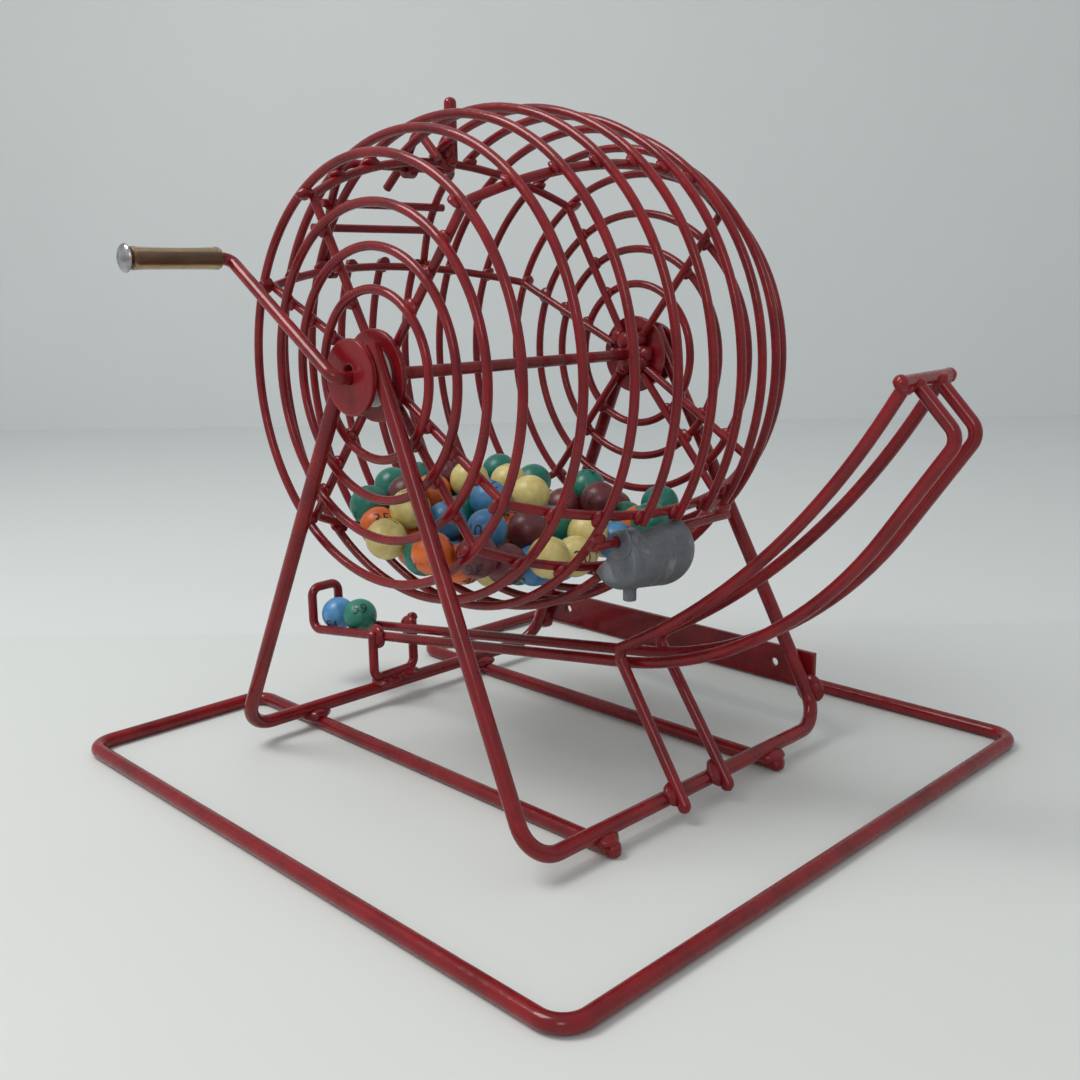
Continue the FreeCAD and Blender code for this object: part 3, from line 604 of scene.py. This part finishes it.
def grip_piece():
    """Sleeve with thick rolled ends, a little bowed, open round the crank pin."""
    centre, half, radius = grip_frame()
    bore = GRIP_BORE_RADIUS
    outside = [(bore + 0.6 * MM, -half), (radius * 0.93, -half + 0.2 * MM), (radius, -half + 1.2 * MM),
               (radius, -half + 3.0 * MM), (radius * 0.93, -half + 5.5 * MM), (radius * 0.91, 0),
               (radius * 0.93, half - 5.5 * MM), (radius, half - 3.0 * MM), (radius, half - 1.2 * MM),
               (radius * 0.93, half - 0.2 * MM), (bore + 0.6 * MM, half)]
    inside = [(bore, half - 0.8 * MM), (bore, 0), (bore, -half + 0.8 * MM), outside[0]]

    def build(shape):
        lathe(shape, outside + inside, frame_at(Vector((0, 0, 0)), (0, 1, 0)))
        bmesh.ops.remove_doubles(shape, verts=shape.verts, dist=1e-6)
        for vertex in shape.verts:
            along = vertex.co.y / half
            vertex.co += centre - Vector((0, 0, GRIP_SAG)) * (1 - along * along)
        bmesh.ops.recalc_face_normals(shape, faces=shape.faces)

    piece = new_object("grip_sleeve", mesh_from(build), SLEEVE, "grip")
    subdivide = piece.modifiers.new("round", "SUBSURF")
    subdivide.levels = subdivide.render_levels = 1
    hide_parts("crank_grip")


def cap_piece():
    """Domed push-on cap with a rolled rim, standing off the sleeve so that the pin's end shows."""
    low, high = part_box("grip_cap")
    centre = (low + high) / 2
    radius = (high.x - low.x) / 2
    depth = high.y - low.y
    place = frame_at(Vector((centre.x, high.y, centre.z)), (0, -1, 0))
    profile = [(0, 0.45 * depth), (radius * 0.80, 0.45 * depth), (radius * 0.84, 0.28 * depth),
               (radius * 0.96, 0.28 * depth), (radius, 0.34 * depth), (radius * 0.99, 0.42 * depth),
               (radius * 0.95, 0.50 * depth), (radius * 0.88, 0.60 * depth), (radius * 0.72, 0.72 * depth),
               (radius * 0.50, 0.88 * depth), (radius * 0.25, 0.97 * depth), (0, depth)]

    def build(shape):
        lathe(shape, profile, place, 64)
        bmesh.ops.recalc_face_normals(shape, faces=shape.faces)

    piece = new_object("cap_dome", mesh_from(build), STEEL, "cage")
    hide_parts("grip_cap")


grip_piece()
cap_piece()


# ---- balls

def ball_centres(node):
    """Centres of the separate balls in a CAD node."""
    shape = bmesh.new()
    shape.from_mesh(frame["nodes"][node].data)
    bmesh.ops.remove_doubles(shape, verts=shape.verts, dist=1e-5)
    shape.verts.ensure_lookup_table()
    seen = set()
    centres = []
    for start in shape.verts:
        if start.index in seen:
            continue
        stack = [start]
        seen.add(start.index)
        members = []
        while stack:
            vertex = stack.pop()
            members.append(vertex.co.copy())
            for edge in vertex.link_edges:
                other = edge.other_vert(vertex)
                if other.index not in seen:
                    seen.add(other.index)
                    stack.append(other)
        low = Vector([min(co[axis] for co in members) for axis in range(3)])
        high = Vector([max(co[axis] for co in members) for axis in range(3)])
        centres.append((low + high) / 2)
    shape.free()
    return centres


def digits_mesh(text, height):
    """Flat filled mesh of a number, centred on the origin, fine enough to wrap round a ball."""
    curve = bpy.data.curves.new("digits", "FONT")
    curve.body = text
    curve.size = height
    curve.align_x = "CENTER"
    curve.align_y = "CENTER"
    curve.resolution_u = 4
    holder = bpy.data.objects.new("digits", curve)
    bpy.context.scene.collection.objects.link(holder)
    bpy.context.view_layer.update()
    flat = bpy.data.meshes.new_from_object(holder)
    bpy.data.objects.remove(holder)
    bpy.data.curves.remove(curve)
    return flat


def add_number(shape, text, centre, radius, turn):
    """Wraps a number round a ball, a hair above its surface."""
    flat = digits_mesh(text, radius * DIGIT_HEIGHT)
    part = bmesh.new()
    part.from_mesh(flat)
    bpy.data.meshes.remove(flat)
    bmesh.ops.triangulate(part, faces=part.faces)
    for _ in range(2):
        long_edges = [edge for edge in part.edges if edge.calc_length() > radius * 0.12]
        bmesh.ops.subdivide_edges(part, edges=long_edges, cuts=1)
        bmesh.ops.triangulate(part, faces=part.faces)
    copies = {}
    for vertex in part.verts:
        across = vertex.co.x / radius
        up = vertex.co.y / radius
        local = Vector((math.sin(across) * math.cos(up), math.sin(up), math.cos(across) * math.cos(up)))
        copies[vertex.index] = shape.verts.new(centre + turn @ (local * (radius + DIGIT_LIFT)))
    for face in part.faces:
        shape.faces.new([copies[vertex.index] for vertex in face.verts])
    part.free()


def ball_pieces(node, colour, body, numbers, dice):
    """Detailed balls and their printed numbers in the place of a CAD node's balls."""
    centres = ball_centres(node)
    radius = size_of("track_ball_blue").z / 2

    def balls(shape):
        for centre in centres:
            bmesh.ops.create_uvsphere(
                shape, u_segments=48, v_segments=24, radius=radius, matrix=Matrix.Translation(centre))

    def digits(shape):
        for centre in centres:
            text = str(numbers.pop())
            about = Matrix.Rotation(dice.uniform(0, 6.283), 3, "Z")
            turn = about @ Matrix.Rotation(dice.uniform(-1.2, 1.9), 3, "X")
            add_number(shape, text, centre, radius, turn)
            add_number(shape, text, centre, radius, turn @ Matrix.Rotation(math.pi, 3, "Y"))

    piece = new_object(node + "_lacquer", mesh_from(balls), BALL_MATERIALS[colour], body)
    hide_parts(node)
    printed = new_object(node + "_numbers", mesh_from(digits), INK, body)


def all_balls():
    """Every ball, numbered in a shuffled order."""
    dice = random.Random(SEED + 5)
    numbers = list(range(1, BALL_NUMBERS + 1))
    dice.shuffle(numbers)
    for colour in BALL_COLOURS:
        ball_pieces("balls_" + colour, colour, "ball_load", numbers, dice)
    ball_pieces("track_ball_blue", "blue", "ball_on_track_blue", numbers, dice)
    ball_pieces("track_ball_green", "green", "ball_on_track_green", numbers, dice)


all_balls()


# ---- stage, light and camera

def plane(name, corners, finish):
    def build(shape):
        shape.faces.new([shape.verts.new(corner) for corner in corners])

    made = bpy.data.objects.new(name, mesh_from(build))
    bpy.context.scene.collection.objects.link(made)
    made.data.materials.append(finish)


def camera_axes():
    ahead = Vector((
        -math.sin(CAMERA_AZIMUTH) * math.cos(CAMERA_DROP),
        math.cos(CAMERA_AZIMUTH) * math.cos(CAMERA_DROP),
        -math.sin(CAMERA_DROP),
    ))
    right = ahead.cross(Vector((0, 0, 1))).normalized()
    up = right.cross(ahead)
    rolled_right = math.cos(CAMERA_ROLL) * right + math.sin(CAMERA_ROLL) * up
    rolled_up = math.cos(CAMERA_ROLL) * up - math.sin(CAMERA_ROLL) * right
    return rolled_right, rolled_up, ahead


def make_camera():
    right, up, ahead = camera_axes()
    lens = bpy.data.cameras.new("camera")
    lens.lens = CAMERA_LENS
    lens.sensor_width = CAMERA_SENSOR
    lens.clip_start = 0.01
    camera = bpy.data.objects.new("camera", lens)
    bpy.context.scene.collection.objects.link(camera)
    turn = Matrix((right, up, -ahead)).transposed().to_4x4()
    camera.matrix_world = Matrix.Translation(CAMERA_PLACE) @ turn
    bpy.context.scene.camera = camera


def area_light(name, place, size, power, colour):
    """Soft light at a place, pointed at the object."""
    light = bpy.data.lights.new(name, "AREA")
    light.shape = "RECTANGLE"
    light.size = size[0]
    light.size_y = size[1]
    light.energy = power
    light.color = colour
    lamp = bpy.data.objects.new(name, light)
    bpy.context.scene.collection.objects.link(lamp)
    direction = Vector(LIGHT_TARGET) - Vector(place)
    lamp.rotation_euler = direction.to_track_quat("-Z", "Y").to_euler()
    lamp.location = place


def make_stage():
    """Pale sheet that ends behind the object, on a pale table, with a wall far behind."""
    ahead = Vector((-math.sin(CAMERA_AZIMUTH), math.cos(CAMERA_AZIMUTH), 0))
    side = Vector((math.cos(CAMERA_AZIMUTH), math.sin(CAMERA_AZIMUTH), 0))
    foot = Vector((CAMERA_PLACE.x, CAMERA_PLACE.y, 0))
    sheet_end = foot + ahead * SHEET_END
    start = foot + ahead * FLOOR_START
    wall_foot = foot + ahead * WALL_DISTANCE
    reach = side * STAGE_HALF_WIDTH
    lower = Vector((0, 0, -TABLE_DROP))
    high = Vector((0, 0, WALL_HEIGHT))
    sheet = stage_surface("sheet", (0.655, 0.68, 0.67))
    backdrop = stage_surface("backdrop", (0.67, 0.70, 0.705))
    plane("sheet", [start - reach, start + reach, sheet_end + reach, sheet_end - reach], sheet)
    plane("table", [start - reach + lower, start + reach + lower, wall_foot + reach + lower,
                    wall_foot - reach + lower], backdrop)
    plane("wall", [wall_foot - reach + lower, wall_foot + reach + lower, wall_foot + reach + high,
                   wall_foot - reach + high], backdrop)


def make_light():
    world = bpy.data.worlds.new("world")
    bpy.context.scene.world = world
    world.use_nodes = True
    background = world.node_tree.nodes["Background"]
    background.inputs["Color"].default_value = (0.95, 0.96, 0.955, 1.0)
    background.inputs["Strength"].default_value = 0.60
    area_light("key", (-0.45, -0.75, 1.45), (0.7, 0.7), 15, (1.0, 0.99, 0.96))
    area_light("window", (0.9, -1.1, 0.9), (0.35, 0.5), 2.5, (1.0, 1.0, 1.0))


make_camera()
make_stage()
make_light()
bpy.context.scene.view_settings.view_transform = "Standard"
